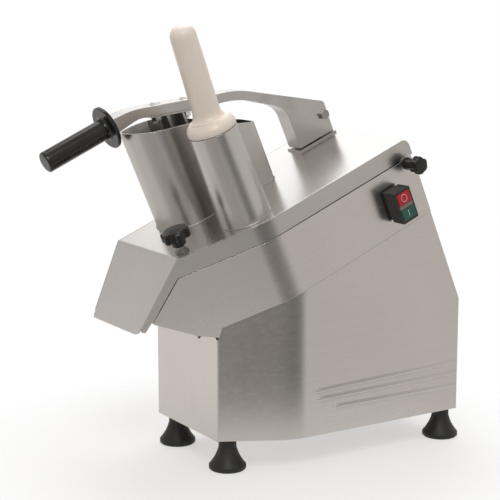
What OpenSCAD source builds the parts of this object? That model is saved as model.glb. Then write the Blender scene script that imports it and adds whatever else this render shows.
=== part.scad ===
// Vegetable cutting machine: sheet steel casing, feed head, hinged lid with hood,
// two feed openings, pusher lever, hand pestle and a belt driven cutting disc.
// Front and outlet face -X, the switch side faces -Y, the floor is Z = 0.

/* [Casing] */
// length of the lower casing, front panel to rear wall
base_len = 350; // [335:1:370]
// outer width of feed head and lid
body_w = 200; // [198:1:220]
// width of the front panel
front_w = 153; // [145:1:160]
// distance from the front panel to the bend of the near side
bend_x = 84; // [76:1:92]
// radius of the soft bend in the near side
bend_r = 80; // [60:1:82]
// height of the lower edge of the casing above the floor
foot_h = 42; // [36:1:50]
// sheet thickness
sheet = 2; // [1.6:0.1:2.4]
// how far the casing stands inside the head
seam_step = 1; // [0.6:0.1:1.4]
// height of the front panel's top edge
panel_top = 169; // [160:1:174]
// rise of the tab at the panel's near corner
tab_rise = 8; // [4:0.5:9]
// width of that tab
tab_w = 45; // [38:1:50]
// how far the pressed lines stand out
swage_h = 1.2; // [0.8:0.1:2]

/* [Feet] */
// radius of a foot on the floor
foot_r = 24; // [20:1:27]
// radius of a foot under the casing
foot_neck = 11.5; // [10:0.5:14]
// inset of the front feet from the front panel
foot_front = 20; // [15:1:30]
// inset of the feet from the near and far front edges
foot_side = 12; // [8:1:20]
// inset of the rear feet from the rear wall
foot_rear = 10; // [8:1:24]
// inset of the rear feet from the sides
foot_rear_side = 22; // [16:1:30]

/* [Lid] */
// slope of the lid
tilt = 23.1; // [22:0.1:24]
// reach of the lid in front of the casing
overhang = 59; // [54:1:64]
// height of the lid's front edge
lid_z = 282.4; // [276:0.2:290]
// height where the rear wall starts to lean
rear_h = 195.2; // [188:0.2:202]
// width of the lid at its front edge
lid_front_w = 156; // [150:1:162]
// where the near edge of the lid bends
lid_bend = 106; // [98:1:114]
// radius of the soft bend in the lid and head
head_r = 90; // [70:1:92]
// depth of the skirt of the lid
skirt = 23.4; // [21:0.2:25]
// gap between skirt and head at the front
lid_gap = 0.6; // [0.4:0.1:1]
// how much that gap opens to the rear
gap_open = 1.2; // [0.6:0.1:1.6]
// radius of the fold between lid and hood
fold_r = 5; // [3:0.5:8]
// depth of the head below the lid's top
head_h = 107; // [104:1:112]
// length of the hood
hood_len = 104; // [96:1:108]
// corner radius of the hood
hood_corner = 14; // [10:1:18]
// radius of the hood's far bottom corner
hood_far = 4; // [2:1:8]
// rounding of the lid's rear edge
rear_round = 11; // [9:0.5:14]

/* [Hinge] */
// distance of the hinge axis from the lid's rear end
hinge_back = 11; // [10:0.5:13]
// depth of the hinge axis under the lid's top
hinge_drop = 32; // [31:0.5:34]
// hinge pin radius
pin_r = 4; // [3:0.5:5]
// running clearance on pins
fit = 0.06; // [0.03:0.01:0.1]

/* [Feed openings] */
// near wall of the large hopper, from the middle
hop_near = 8.5; // [4:0.5:12]
// distance of the large hopper from the lid's far edge
hop_edge = 4; // [3:0.5:8]
// front of the large hopper, along the lid
hop_front = 41.5; // [38:0.5:46]
// rear of the large hopper, along the lid
hop_rear = 204; // [196:1:210]
// corner radius at the rear of the large hopper
hop_corner = 12; // [8:1:16]
// height of the large hopper at its front
hop_h = 139; // [128:1:142]
// height of the large hopper at its rear
hop_h_rear = 80; // [70:1:90]
// radius of the small tube
tube_r = 33.6; // [31:0.2:35]
// its radius at the top
tube_top = 30.8; // [29:0.2:31.4]
// small tube centre along the lid
tube_s = 108.5; // [104:0.5:114]
// small tube centre from the middle, towards the near side
tube_y = 52.5; // [48:0.5:56]
// height of the small tube
tube_h = 120.5; // [110:0.5:130]
// clearance of the pestle in the tube
pestle_gap = 0.6; // [0.4:0.1:1]
// radius of the pestle's handle
pestle_r = 17.2; // [15:0.2:18.4]
// radius of that grip near its end
pestle_end = 16.2; // [14:0.2:17]
// how far the grip leans back, in degrees
pestle_lean = 4; // [0:0.5:5]
// height of the pestle's top above the lid
pestle_top = 254.5; // [235:0.5:262]

/* [Cutting disc] */
// centre of the disc along the lid
disc_s = 120; // [118:1:124]
// distance of the tub from the sides of the head
tub_side = 10; // [9:0.5:14]
// gap between disc and tub
disc_gap = 5; // [4:0.5:7]
// shaft radius
shaft_r = 10; // [8:0.5:12]

/* [Drive] */
// gap between the tub and the motor
motor_gap = 4; // [3:0.5:6]
// motor radius
motor_r = 56; // [48:1:60]
// radius of the large pulley where the belt runs
pulley_big = 54; // [46:1:58]
// radius of the motor pulley where the belt runs
pulley_small = 18; // [16:1:22]
// gap between belt and pulley
belt_gap = 0.4; // [0.3:0.1:0.8]
// motor shaft radius
rotor_r = 7; // [6:0.5:8]

/* [Lever] */
// middle plane of the lever
lever_y = 57; // [54:1:60]
// width of the lever bar
lever_w = 28; // [25:1:30]
// distance of the lever pivot from the lid's rear end
pivot_back = 20; // [17:0.5:24]
// lever pivot above the lid
pivot_h = 31; // [30:0.5:33]
// wall of the fork
fork_wall = 4.5; // [3.5:0.1:5]
// radius of the grip
grip_r = 13.5; // [11:0.5:16]
// length of the grip
grip_len = 91; // [80:1:105]
// radius of the guard disc on the grip
guard_r = 28; // [22:1:32]

/* [Knobs and switch] */
// front clamp along the lid
clamp_s = 16; // [14:0.5:18]
// distance of the front clamp from the lid's near front corner
clamp_in = 14; // [12:0.5:18]
// radius of the front knob
knob_r = 19; // [16:0.5:22]
// radius of the rear knob
rear_knob_r = 12; // [10:0.5:13]
// distance of the switch from the lid's rear end
switch_back = 50; // [46:1:54]
// switch centre below the lid's top
switch_h = 69; // [67:0.5:71]
// switch box width
switch_w = 26; // [25:0.5:28]
// switch box height
switch_l = 44; // [42:0.5:47]
// switch box depth
switch_d = 25; // [20:0.5:28]
// gap around the buttons
button_gap = 0.3; // [0.2:0.05:0.5]

/* [Hidden] */
$fn = 64;
cs = cos(tilt);
sn = sin(tilt);
hw = body_w / 2;
hb = hw - seam_step;
y_nf = hb - front_w;
y_lf = hw - lid_front_w;
lid_len = (base_len + overhang) * cs - (lid_z - rear_h) * sn;
hinge_s = lid_len - hinge_back;
pivot_s = lid_len - pivot_back;
switch_s = lid_len - switch_back;
clamp_y = -y_lf - clamp_in;
head_top = skirt + lid_gap + gap_open;
hop_far = hw - hop_edge;
tub_r = hw - tub_side;
wing_reach = 80;
near_q = (hw + y_lf) / lid_bend;
fold_k = fold_r * tan(22.5);
gland_y = hb - 39;
gland_z = 96;
face_w = switch_w - 5;
face_l = switch_l - 6.8;
lamp_z = -0.4;
lamp_l = 6;
stop_z = (face_l / 2 + lamp_z + lamp_l / 2) / 2;
start_z = (lamp_z - lamp_l / 2 - face_l / 2) / 2;
ear_r = 12;
tube_in = tube_r - sheet;
pestle_body = tube_top - sheet - pestle_gap;
disc_r = tub_r - disc_gap;
hop_round = (hop_far - hop_near) / 2;
hop_mid = (hop_far + hop_near) / 2;
tub_floor = 66;
motor_s = disc_s + tub_r + sheet + motor_gap + motor_r;
fork_in = lever_w - 2 * fork_wall;
// box of the whole machine, used to set the origin
grip_x = -94.4;
grip_z = 434.3;
grip_slope = 24.6;
arm_slope = atan(0.12);
arm_t = 12.4 * cos(arm_slope);
bolt_spots = [-22.5, 21.2];
grip_end = bez([grip_r, grip_len - 1], [grip_r, grip_len + 2], [grip_r - 3, grip_len + 2], 4);
x_min = grip_x - max([for (p = grip_end) p[1] * cos(grip_slope) + p[0] * sin(grip_slope)]);
gland_len = 18;
x_max = base_len + gland_len;
knob_out = 28;
y_min = -hw - knob_out;
pin_end = 9;
y_max = max(hw + pin_end, hb - foot_side + foot_r);
org_x = (x_min + x_max) / 2;
org_y = (y_min + y_max) / 2;

function bez(a, b, c, n = 8) = [for (i = [0 : n])
  let (t = i / n) (1 - t) * (1 - t) * a + 2 * t * (1 - t) * b + t * t * c];

// machine frame and sloping lid frame
module place() translate([-org_x, -org_y, 0]) children();
module lidf() place() translate([-overhang, 0, lid_z]) rotate([0, -tilt, 0]) children();
// profile drawn in the upright X-Z plane, thick along Y from y0 to y1
module side(y0, y1) translate([0, y1, 0]) rotate([90, 0, 0]) linear_extrude(y1 - y0) children();
// plate drawn in the lid plane between two heights over the lid
module slab(h0, h1) translate([0, 0, h0]) linear_extrude(h1 - h0) children();
// round bar along Y
module bar(r, y0, y1) translate([0, y0, 0]) rotate([-90, 0, 0]) cylinder(r = r, h = y1 - y0);

// outline of the casing: straight far side, near side that bends softly; t insets it,
// front_out moves the front edge outwards
module base_plan(t, front_out = 0) {
  q = (hb + y_nf) / bend_x;
  phi = atan(q);
  c = [bend_x + bend_r * tan(phi / 2), bend_r - hb];
  xf = t - front_out;
  polygon(concat([[xf, hb - t], [base_len - t, hb - t], [base_len - t, t - hb]],
    [for (i = [0 : 20]) c - (bend_r - t) * [sin(phi * i / 20), cos(phi * i / 20)]],
    [[xf, y_nf - q * xf + t * sqrt(1 + q * q)]]));
}
// near side of head and lid at s, in front of the bend: one flat face that runs on under the hood
function near_y(s) = y_lf - near_q * s;
// that side with its soft bend, rear to front, inset by t
function near_side(t) =
  let (phi = atan(near_q), c = [lid_bend + head_r * tan(phi / 2), head_r - hw])
  concat([for (i = [0 : 20]) c - (head_r - t) * [sin(phi * i / 20), cos(phi * i / 20)]],
    [[-wing_reach, near_y(-wing_reach) + t / cos(phi)]]);
// outline of head and lid, cut off at front, inset by t, with the rear moved by rear
module head_plan(t, front = 0, rear = 0) intersection() {
  polygon(concat([[-wing_reach, hw - t], [lid_len + rear - t, hw - t], [lid_len + rear - t, t - hw]],
    near_side(t)));
  translate([front, -300]) square([700, 600]);
}

// half-moon outline of the large hopper
module hopper_plan(t) {
  intersection() {
    union() {
      translate([hop_front + hop_round, hop_mid]) circle(hop_round - t, $fn = 96);
      translate([hop_front + hop_round, hop_near + t])
        square([hop_rear - hop_corner - hop_front - hop_round, 2 * hop_round - 2 * t]);
      translate([hop_rear - hop_corner - 1, hop_near + hop_corner])
        square([hop_corner + 1 - t, 2 * hop_round - 2 * hop_corner]);
      translate([hop_rear - hop_corner, hop_near + hop_corner]) circle(hop_corner - t);
    }
    translate([disc_s - 2, 0]) circle(tub_r + 8 - t, $fn = 128);
  }
}

// star knob with lobes, standing on z = 0
module star(r, h) {
  intersection() {
    linear_extrude(h) {
      circle(r * 0.8);
      for (i = [0 : 5]) rotate(i * 60 + 15) translate([r * 0.76, 0]) circle(r * 0.24, $fn = 24);
    }
    rotate_extrude() polygon(concat([[0, 0], [r - 1.2, 0], [r, 1.2]],
      bez([r, h * 0.62], [r * 0.97, h * 0.92], [r * 0.7, h * 0.95]), [[0, h]]));
  }
}

// Casing

module casing_walls() {
  intersection() {
    union() {
      translate([0, 0, foot_h]) linear_extrude(lid_z) base_plan(0);
      swages();
    }
    translate([-overhang, 0, lid_z]) rotate([0, -tilt, 0])
      translate([-200, -300, -600]) cube([200 + lid_len, 600, 600 - head_h]);
  }
}
module swages() {
  for (w = [[bend_x + 36, 100, base_len - 8, 107], [bend_x + 40, 89, base_len - 14, 92],
      [bend_x + 66, 75.5, base_len - 6, 75]])
    let (dx = w[2] - w[0], a = atan2(w[3] - w[1], dx))
      translate([w[0], 4 - swage_h - hb, w[1]]) rotate([0, 90 - a, 0]) {
        cylinder(r = 4, h = dx / cos(a), $fn = 32);
        sphere(4, $fn = 32);
      }
}
module base_casing() color("Silver") place() {
  difference() {
    casing_walls();
    intersection() {
      translate([0, 0, foot_h - 1]) linear_extrude(lid_z + 2) base_plan(sheet, 20);
      translate([-overhang, 0, lid_z]) rotate([0, -tilt, 0])
        translate([-200, -300, -600]) cube([200 + lid_len - sheet, 600, 620]);
    }
    translate([base_len - 10, gland_y, gland_z]) rotate([0, 90, 0]) cylinder(r = 8, h = 20);
  }
}

// front panel: the tab at its near corner rises from a small notch
module panel_shape() {
  r = 7;
  notch = y_nf + tab_w;
  top = panel_top + tab_rise;
  polygon(concat([[hb, foot_h], [hb, panel_top], [notch + 1.6, panel_top], [notch + 1.2, panel_top - 2.4],
    [notch, panel_top - 2.6]], bez([notch - 5, panel_top + 1], [notch - 18, top], [y_nf + r + 5, top], 6),
    [for (i = [0 : 6]) [y_nf + r, top - r] + r * [cos(90 + i * 15), sin(90 + i * 15)]],
    [[y_nf, foot_h]]));
}
module front_panel() color("Gainsboro") place() {
  translate([-sheet, 0, 0]) rotate([90, 0, 90]) linear_extrude(sheet) panel_shape();
  translate([-sheet / 2, y_nf + tab_w + 2, panel_top - sheet]) cube([9, hb - y_nf - tab_w - 6, sheet]);
}

function foot_spots() = [[foot_front, y_nf + foot_side], [foot_front, hb - foot_side],
  [base_len - foot_rear, foot_rear_side - hw], [base_len - foot_rear, hw - foot_rear_side]];
module bottom_plate() color("DarkGray") place() difference() {
  translate([0, 0, foot_h]) linear_extrude(sheet) base_plan(sheet, sheet);
  for (p = foot_spots()) translate([p[0], p[1], foot_h - 1]) cylinder(r = 4.3, h = sheet + 2);
  for (i = [0 : 6]) translate([120 + i * 26, -40, foot_h - 1]) {
    translate([0, 5, 0]) cube([8, 70, sheet + 2]);
    translate([4, 5, 0]) cylinder(r = 4, h = sheet + 2);
    translate([4, 75, 0]) cylinder(r = 4, h = sheet + 2);
  }
}
module rubber_feet() color([0.09, 0.09, 0.09]) place() for (p = foot_spots())
  translate([p[0], p[1], 0]) difference() {
    rotate_extrude() polygon(concat([[0, 0], [foot_r - 2, 0], [foot_r, 2]],
      bez([foot_r, 6], [foot_neck + 3, 17], [foot_neck, foot_h - 12], 10),
      [[foot_neck, foot_h], [0, foot_h]]));
    translate([0, 0, 8]) cylinder(r = 4, h = foot_h);
    translate([0, 0, -1]) cylinder(r = 8, h = 5);
  }
module foot_screws() color("DimGray") place() for (p = foot_spots()) translate([p[0], p[1], 0]) {
  translate([0, 0, 8]) cylinder(r = 4, h = foot_h + sheet + 2);
  translate([0, 0, foot_h + sheet]) cylinder(r = 7, h = 6, $fn = 6);
}

// Feed head

function on_lid(x, z) = [(x + overhang) * cs + (z - lid_z) * sn, (z - lid_z) * cs - (x + overhang) * sn];
// side view of the head, with the wing that reaches forward under the hood
module head_side() polygon([[lid_len + 5, -skirt - lid_gap - gap_open], [lid_len + 5, -head_h],
  [(overhang - head_h * sn) / cs, -head_h], on_lid(-sheet - 0.6, panel_top + tab_rise + 1.5),
  [-10.6, 2.2 - head_h], [-51.6, -68.5], [-52.6, -65.9], [-49.2, -63.6],
  [-7, -skirt - lid_gap - 0.3], [0.5, -skirt - lid_gap]]);
module head_housing() color("Silver") lidf() difference() {
  union() {
    intersection() {
      slab(-head_h - 20, -skirt) difference() {
        head_plan(0, -wing_reach);
        head_plan(sheet, -wing_reach);
      }
      side(-hw - 5, hw + 5) head_side();
    }
    slab(-head_top - sheet, -head_top) head_plan(0);
    for (y = [-hw, hw - sheet]) translate([hinge_s, y, -hinge_drop]) bar(ear_r, 0, sheet);
  }
  translate([disc_s, 0, -head_h]) cylinder(r = tub_r + sheet + 1.4, h = head_h, $fn = 128);
  translate([hinge_s - 28, -hw + sheet, -head_h / 2]) cube([28 + hinge_back - sheet, body_w - 2 * sheet, head_h]);
  translate([lid_len - sheet - 1, -hw - 1, 4 - hinge_drop]) cube([20, body_w + 2, 80]);
  translate([hinge_s, 0, -hinge_drop]) bar(pin_r + 0.4, -hw - 1, hw + 1);
  translate([clamp_s, -clamp_y, -head_h / 2]) cylinder(r = 9, h = head_h);
  translate([switch_s - 9, -hw - 1, -switch_h - 17]) cube([18, sheet + 2, 34]);
}

module cutting_tub() color("LightGray") lidf() difference() {
  union() {
    translate([disc_s, 0, -tub_floor - 4]) cylinder(r = tub_r + sheet, h = tub_floor - 2, $fn = 128);
    intersection() {
      translate([disc_s, 0, -head_top]) cylinder(r = tub_r + 7, h = 3, $fn = 128);
      slab(-head_top, -head_top + 3) head_plan(sheet + 1.2);
    }
  }
  translate([disc_s, 0, -tub_floor]) cylinder(r = tub_r, h = tub_floor + 1, $fn = 128);
  translate([disc_s - tub_r - 10, y_lf + 6, -tub_floor]) cube([44, tub_r + 56, tub_floor - head_top - 3]);
  translate([disc_s, 0, -tub_floor - 5]) cylinder(r = 26, h = 10);
}
module outlet_slide() color("Silver") lidf()
  side(y_lf + 6, hw - 2 * sheet - 0.5) polygon([[56, -tub_floor - 4], [52, -tub_floor - 7],
    [14, -head_h - 17], [12, -head_h - 16], [48, -tub_floor - 4]]);

module bearing_housing() color("DimGray") lidf() translate([disc_s, 0, 0]) difference() {
  union() {
    translate([0, 0, -tub_floor - 12]) cylinder(r = 48, h = 8);
    translate([0, 0, -tub_floor - 84]) cylinder(r = 31, h = 80);
    translate([0, 0, -tub_floor - 5]) cylinder(r = 26, h = 7);
    for (i = [0 : 3]) rotate(i * 90 + 45) translate([28, -3, -tub_floor - 60]) cube([18, 6, 52]);
  }
  translate([0, 0, -tub_floor - 90]) cylinder(r = shaft_r + 2, h = 100);
  translate([0, 0, -tub_floor - 31]) cylinder(r = 23.5, h = 14);
  translate([0, 0, -tub_floor - 85]) cylinder(r = 23.5, h = 16);
  translate([0, 0, -tub_floor - 3]) cylinder(r = 20, h = 6);
}
module ring(r1, r0, h0, h1) translate([0, 0, h0]) difference() {
  cylinder(r = r1, h = h1 - h0);
  translate([0, 0, -1]) cylinder(r = r0, h = h1 - h0 + 2);
}
module upper_bearing() color("Gainsboro") lidf() translate([disc_s, 0, 0])
  ring(23.5, shaft_r + fit, -tub_floor - 31, -tub_floor - 17);
module lower_bearing() color("Gainsboro") lidf() translate([disc_s, 0, 0])
  ring(23.5, shaft_r + fit, -tub_floor - 83, -tub_floor - 69);
module shaft_seal() color([0.1, 0.1, 0.1]) lidf() translate([disc_s, 0, 0])
  ring(20, shaft_r + fit, -tub_floor - 3, -tub_floor + 3);
module clamp_boss() color("Silver") lidf() difference() {
  union() {
    translate([clamp_s, -clamp_y, -48]) cylinder(r = 9, h = 45);
    translate([clamp_s - 9, y_lf + sheet - 5, -44]) cube([18, y_lf * -1 - clamp_y + 2, 14]);
  }
  slab(-60, 0) difference() {
    translate([-50, -200]) square([150, 250]);
    head_plan(sheet, -30);
  }
  translate([clamp_s, -clamp_y, -50]) cylinder(r = 5.2, h = 60);
}
module hinge_brackets() color("Silver") lidf() for (m = [0, 1]) mirror([0, m, 0])
  difference() {
    side(hw - sheet - 5, hw - sheet) difference() {
      union() {
        translate([hinge_s, -hinge_drop]) circle(9);
        polygon([[hinge_s - 24, -hinge_drop - 30], [hinge_s + 8.8, -hinge_drop - 30],
          [hinge_s + 8.8, -hinge_drop - 1], [hinge_s - 8, -hinge_drop + 3]]);
      }
      translate([hinge_s, -hinge_drop]) circle(pin_r + fit);
    }
  }

// Switch on the near side

module soft_square(w, l, r) {
  square([w - 2 * r, l], center = true);
  square([w, l - 2 * r], center = true);
  for (x = [r - w / 2, w / 2 - r]) for (y = [r - l / 2, l / 2 - r]) translate([x, y]) circle(r, $fn = 24);
}
module switch_housing() color([0.08, 0.08, 0.08]) lidf() translate([switch_s, -hw, -switch_h])
  difference() {
    union() {
      side(-switch_d, -5) soft_square(switch_w, switch_l, 2);
      side(-6, 0) soft_square(switch_w - 4, switch_l - 4, 2);
    }
    translate([-face_w / 2, -switch_d - 1, -face_l / 2]) cube([face_w, 10, face_l]);
    for (z = [stop_z, start_z]) translate([0, -switch_d, z]) bar(3 + fit, 0, switch_d + 1);
  }
// push button from z0 to z1 with its stem
module button(z0, z1) {
  translate([button_gap - face_w / 2, -switch_d - 0.8, z0 + button_gap])
    cube([face_w - 2 * button_gap, 5, z1 - z0 - 2 * button_gap]);
  translate([0, -switch_d, (z0 + z1) / 2]) bar(3, 1, switch_d + 8);
}
module stop_button() color("Crimson") lidf() translate([switch_s, -hw, -switch_h])
  button(lamp_z + lamp_l / 2, face_l / 2);
module start_button() color("SeaGreen") lidf() translate([switch_s, -hw, -switch_h])
  button(-face_l / 2, lamp_z - lamp_l / 2);
module lamp_window() color("Gray") lidf() translate([switch_s, -hw, -switch_h])
  translate([-face_w / 2, -switch_d - 0.2, lamp_z - lamp_l / 2 + button_gap])
    cube([face_w, 9.2, lamp_l - 2 * button_gap]);
module contact_block() color([0.15, 0.15, 0.16]) lidf() translate([switch_s, -hw, -switch_h])
  difference() {
    translate([-9, 0, -17]) cube([18, 34, 34]);
    for (z = [stop_z, start_z]) translate([0, 0, z]) bar(3.4, -1, 14);
  }
module lid_sensor() color([0.12, 0.12, 0.13]) lidf()
  translate([hinge_s - 60, hw - 34, -head_top - sheet - 22]) cube([26, 20, 22]);
module sensor_magnet() color("DimGray") lidf()
  translate([hinge_s - 58, hw - 31, -sheet - 6]) cube([22, 14, 6]);
module cable_gland() color([0.1, 0.1, 0.1]) place() translate([base_len, gland_y, gland_z])
  rotate([0, 90, 0])
  difference() {
    union() {
      translate([0, 0, -sheet - 5]) cylinder(r = 8, h = 10);
      translate([0, 0, -sheet - 5]) cylinder(r = 13, h = 5, $fn = 6);
      cylinder(r = 13, h = 5, $fn = 6);
      rotate_extrude() polygon(concat([[0, 4], [11, 4]],
        bez([11, 12], [10, gland_len - 1], [6.5, gland_len], 6), [[0, gland_len]]));
    }
    translate([0, 0, -20]) cylinder(r = 4.5, h = 60);
  }

// Motor and belt

module motor_body() color("SlateGray") lidf() translate([motor_s, 0, 0]) difference() {
  union() {
    translate([0, 0, -185]) cylinder(r = motor_r - 5, h = 121);
    for (i = [0 : 17]) rotate(i * 20) translate([motor_r - 8, -1.5, -182]) cube([8, 3, 70]);
    translate([0, 0, -107]) cylinder(r = motor_r, h = 5);
  }
  translate([0, 0, -190]) cylinder(r = rotor_r + 6, h = 140);
}
module motor_shield() color("LightSlateGray") lidf() translate([motor_s, 0, 0]) {
  ring(motor_r, rotor_r + fit, -195, -185);
  ring(20, rotor_r + fit, -203, -195);
}
module fan_cover() color("SlateGray") lidf() translate([motor_s, 0, 0]) difference() {
  translate([0, 0, -64]) cylinder(r = motor_r - 1, h = 28);
  translate([0, 0, -62]) cylinder(r = motor_r - 3, h = 24);
  translate([0, 0, -66]) cylinder(r = rotor_r + fit, h = 6);
  for (i = [0 : 11]) rotate(i * 30) translate([18, -3, -40]) cube([26, 6, 10]);
}
module motor_plate() color("DarkGray") lidf() difference() {
  translate([motor_s - 70, -hw + sheet, -head_h]) cube([70 + lid_len - sheet - motor_s, body_w - 2 * sheet, 5]);
  translate([motor_s, 0, -head_h - 1]) cylinder(r = motor_r, h = 8);
}
module capacitor() color([0.2, 0.2, 0.22]) lidf() translate([motor_s + 34, hw - 24, -head_h - 56]) {
  cylinder(r = 16, h = 56);
  translate([0, 0, -5]) cylinder(r = 5, h = 6);
}
module loop(r1, r2, d) {
  a = acos((r1 - r2) / d);
  circle(r1, $fn = 96);
  translate([d, 0]) circle(r2);
  polygon([r1 * [cos(a), sin(a)], r1 * [cos(a), -sin(a)],
    [d, 0] + r2 * [cos(a), -sin(a)], [d, 0] + r2 * [cos(a), sin(a)]]);
}
module drive_belt() color([0.07, 0.07, 0.07]) lidf() translate([disc_s, 0, -239]) difference() {
  linear_extrude(10) loop(pulley_big + 5, pulley_small + 5, motor_s - disc_s);
  translate([0, 0, -1]) linear_extrude(12)
    loop(pulley_big + belt_gap, pulley_small + belt_gap, motor_s - disc_s);
}
module pulley(r, bore) difference() {
  rotate_extrude() polygon([[0, -244], [r + 5, -244], [r + 5, -240.5], [r, -239.5],
    [r, -228.5], [r + 5, -227.5], [r + 5, -224], [0, -224]]);
  translate([0, 0, -250]) cylinder(r = bore, h = 40);
  if (r > 40) for (i = [0 : 4]) rotate(i * 72) translate([r * 0.58, 0, -250]) cylinder(r = r * 0.2, h = 40);
}
module driven_pulley() color("DimGray") lidf() translate([disc_s, 0, 0]) pulley(pulley_big, shaft_r);
module motor_pulley() color("DimGray") lidf() translate([motor_s, 0, 0]) pulley(pulley_small, rotor_r);
module motor_shaft() color("Silver") lidf() translate([motor_s, 0, -248]) cylinder(r = rotor_r, h = 204);
module cooling_fan() color([0.15, 0.15, 0.15]) lidf() translate([motor_s, 0, 0]) {
  ring(15, rotor_r, -58, -44);
  for (i = [0 : 6]) rotate(i * 360 / 7) translate([14, -1, -58]) cube([30, 2, 14]);
}

// Spindle

module main_shaft() color("Silver") lidf() translate([disc_s, 0, -248]) {
  cylinder(r = shaft_r, h = 234);
  cylinder(r = shaft_r - 3, h = 238);
}
module drive_hub() color("Gainsboro") lidf() translate([disc_s, 0, 0]) difference() {
  union() {
    translate([0, 0, -56]) cylinder(r = 18, h = 42);
    translate([0, 0, -56]) cylinder(r = 28, h = 4);
  }
  translate([0, 0, -60]) cylinder(r = shaft_r, h = 60);
}
module ejector_disc() color("WhiteSmoke") lidf() translate([disc_s, 0, 0]) {
  ring(disc_r, 18, -52, -48);
  for (i = [0 : 2]) rotate(i * 120) translate([24, -3, -49]) cube([disc_r - 28, 6, 15]);
}
module cutting_disc() color("LightGray") lidf() translate([disc_s, 0, 0]) difference() {
  union() {
    translate([0, 0, -14]) cylinder(r = disc_r, h = 4, $fn = 128);
    translate([0, 0, -20]) ring(disc_r, disc_r - 4, 0, 8);
    translate([0, 0, -10]) cylinder(r = 20, h = 1);
  }
  translate([0, 0, -30]) cylinder(r = shaft_r - 3, h = 40);
  for (i = [0 : 1]) rotate(i * 180) translate([22, -9, -30]) cube([disc_r - 30, 7, 40]);
}
module disc_knives() color("Silver") lidf() translate([disc_s, 0, 0]) for (i = [0 : 1])
  rotate(i * 180) translate([22, -2, -10]) {
    cube([disc_r - 30, 12, 1.2]);
    for (x = [8, disc_r - 40]) translate([x, 8, 1]) cylinder(r = 2.4, h = 0.8, $fn = 24);
  }
module lock_screw() color("Silver") lidf() translate([disc_s, 0, 0]) difference() {
  translate([0, 0, -9]) cylinder(r = 9, h = 4);
  translate([0, 0, -10]) cylinder(r = shaft_r - 3, h = 2);
  translate([0, 0, -6.5]) cylinder(r = 4, h = 4, $fn = 6);
}

// Lid with hood and feed openings

// side view of the bent top with its round rear edge, inset by t, from s onwards
module lid_section(t, s) {
  translate([s, -60]) square([lid_len - rear_round - s, 60 - t]);
  translate([s, -60]) square([lid_len - t - s, 60 - rear_round]);
  translate([lid_len - rear_round, -rear_round]) circle(rear_round - t);
}
// side view of the bend between lid and hood, inset by t
function fold_arc(t) = [for (i = [0 : 9]) let (a = 90 + i * 5)
  [fold_k, -fold_r] + (fold_r - t) * [cos(a), sin(a)]];
function flip(p) = [for (i = [len(p) - 1 : -1 : 0]) p[i]];
// side view of the bent sheet: rear edge, top, fold and hood
module lid_sheet() {
  down = -hood_len * [cos(45), cos(45)];
  in = sheet * [cos(45), -cos(45)];
  intersection() {
    difference() {
      lid_section(0, fold_k + 2);
      lid_section(sheet, fold_k - 5);
    }
    translate([0, -skirt]) square([lid_len + 1, skirt + 1]);
  }
  polygon(concat([[fold_k + 12, 0]], fold_arc(0), [down, down + in], flip(fold_arc(sheet)),
    [[fold_k + 12, -sheet]]));
}
// what a bottom corner of the hood loses, in the hood's plane: x down the hood, y across;
// r is its radius, y and k place and slope of the edge, m which side it is on
module hood_corner_cut(r, y, k, m) {
  d = atan(k);
  c = [hood_len - r, y + k * (hood_len - r) + m * r / cos(d)];
  first = c + r * [sin(d), -m * cos(d)];
  polygon(concat([for (i = [0 : 12]) let (a = d - 90 + i * (90 - d) / 12) c + r * [cos(a), m * sin(a)]],
    [[hood_len + 2, c[1]], [hood_len + 2, first[1] - m * 8], [first[0], first[1] - m * 8]]));
}
module lid() color("Gainsboro") lidf() difference() {
  intersection() {
    side(-hw - 5, hw + 5) lid_sheet();
    slab(-90, 1) head_plan(sheet, -wing_reach, sheet + 1);
  }
  rotate([0, 135, 0]) translate([0, 0, -1]) linear_extrude(sheet + 2) {
    hood_corner_cut(hood_corner, near_y(0) + sheet / cos(atan(near_q)), near_q * cos(45), 1);
    hood_corner_cut(hood_far, hw - sheet, 0, -1);
  }
  slab(-5, 5) intersection() {
    hopper_plan(sheet);
    translate([disc_s, 0]) circle(tub_r - 3, $fn = 128);
  }
  translate([tube_s, -tube_y, -5]) cylinder(r = tube_in, h = 10);
  translate([clamp_s, -clamp_y, -5]) cylinder(r = 5.5, h = 10);
}
// side plates of the lid, which reach down along the hood
module lid_sides() color("Gainsboro") lidf() intersection() {
  slab(-80, 1) difference() {
    head_plan(0, -wing_reach);
    head_plan(sheet, -wing_reach, sheet + 1);
  }
  side(-hw - 5, hw + 5) {
    difference() {
      intersection() {
        lid_section(0, fold_k + 2);
        translate([0, -skirt]) square([lid_len + 1, skirt + 1]);
      }
      translate([hinge_s, -hinge_drop]) circle(ear_r + lid_gap);
    }
    polygon(concat([[fold_k + 12, 0]], fold_arc(0), [[-66, -66], [-68, -71.5], [-64.5, -74],
      [-55.6, -66.3], [-50, -62.7], [-7.8, -skirt], [fold_k + 12, -skirt]]));
  }
}
module lid_ears() color("Silver") lidf() for (m = [0, 1]) mirror([0, m, 0])
  side(hw - sheet - 11, hw - sheet - 6) difference() {
    union() {
      translate([hinge_s, -hinge_drop]) circle(8.4);
      polygon([[hinge_s - 26, -sheet], [hinge_s - 6, -sheet], [hinge_s - 2, -hinge_drop + 8],
        [hinge_s - 8, -hinge_drop - 2]]);
    }
    translate([hinge_s, -hinge_drop]) circle(pin_r + fit);
  }
module rim_cut() side(-200, 200) polygon([[0, hop_h + 9], [125, hop_h - 19.5],
  [168, hop_h_rear + 14], [hop_rear + 2, hop_h_rear], [400, hop_h_rear - 60], [400, 400], [0, 400]]);
module large_hopper() color("Silver") lidf() difference() {
  slab(0, hop_h + 10) hopper_plan(0);
  slab(-1, hop_h + 20) hopper_plan(sheet);
  rim_cut();
}
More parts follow.
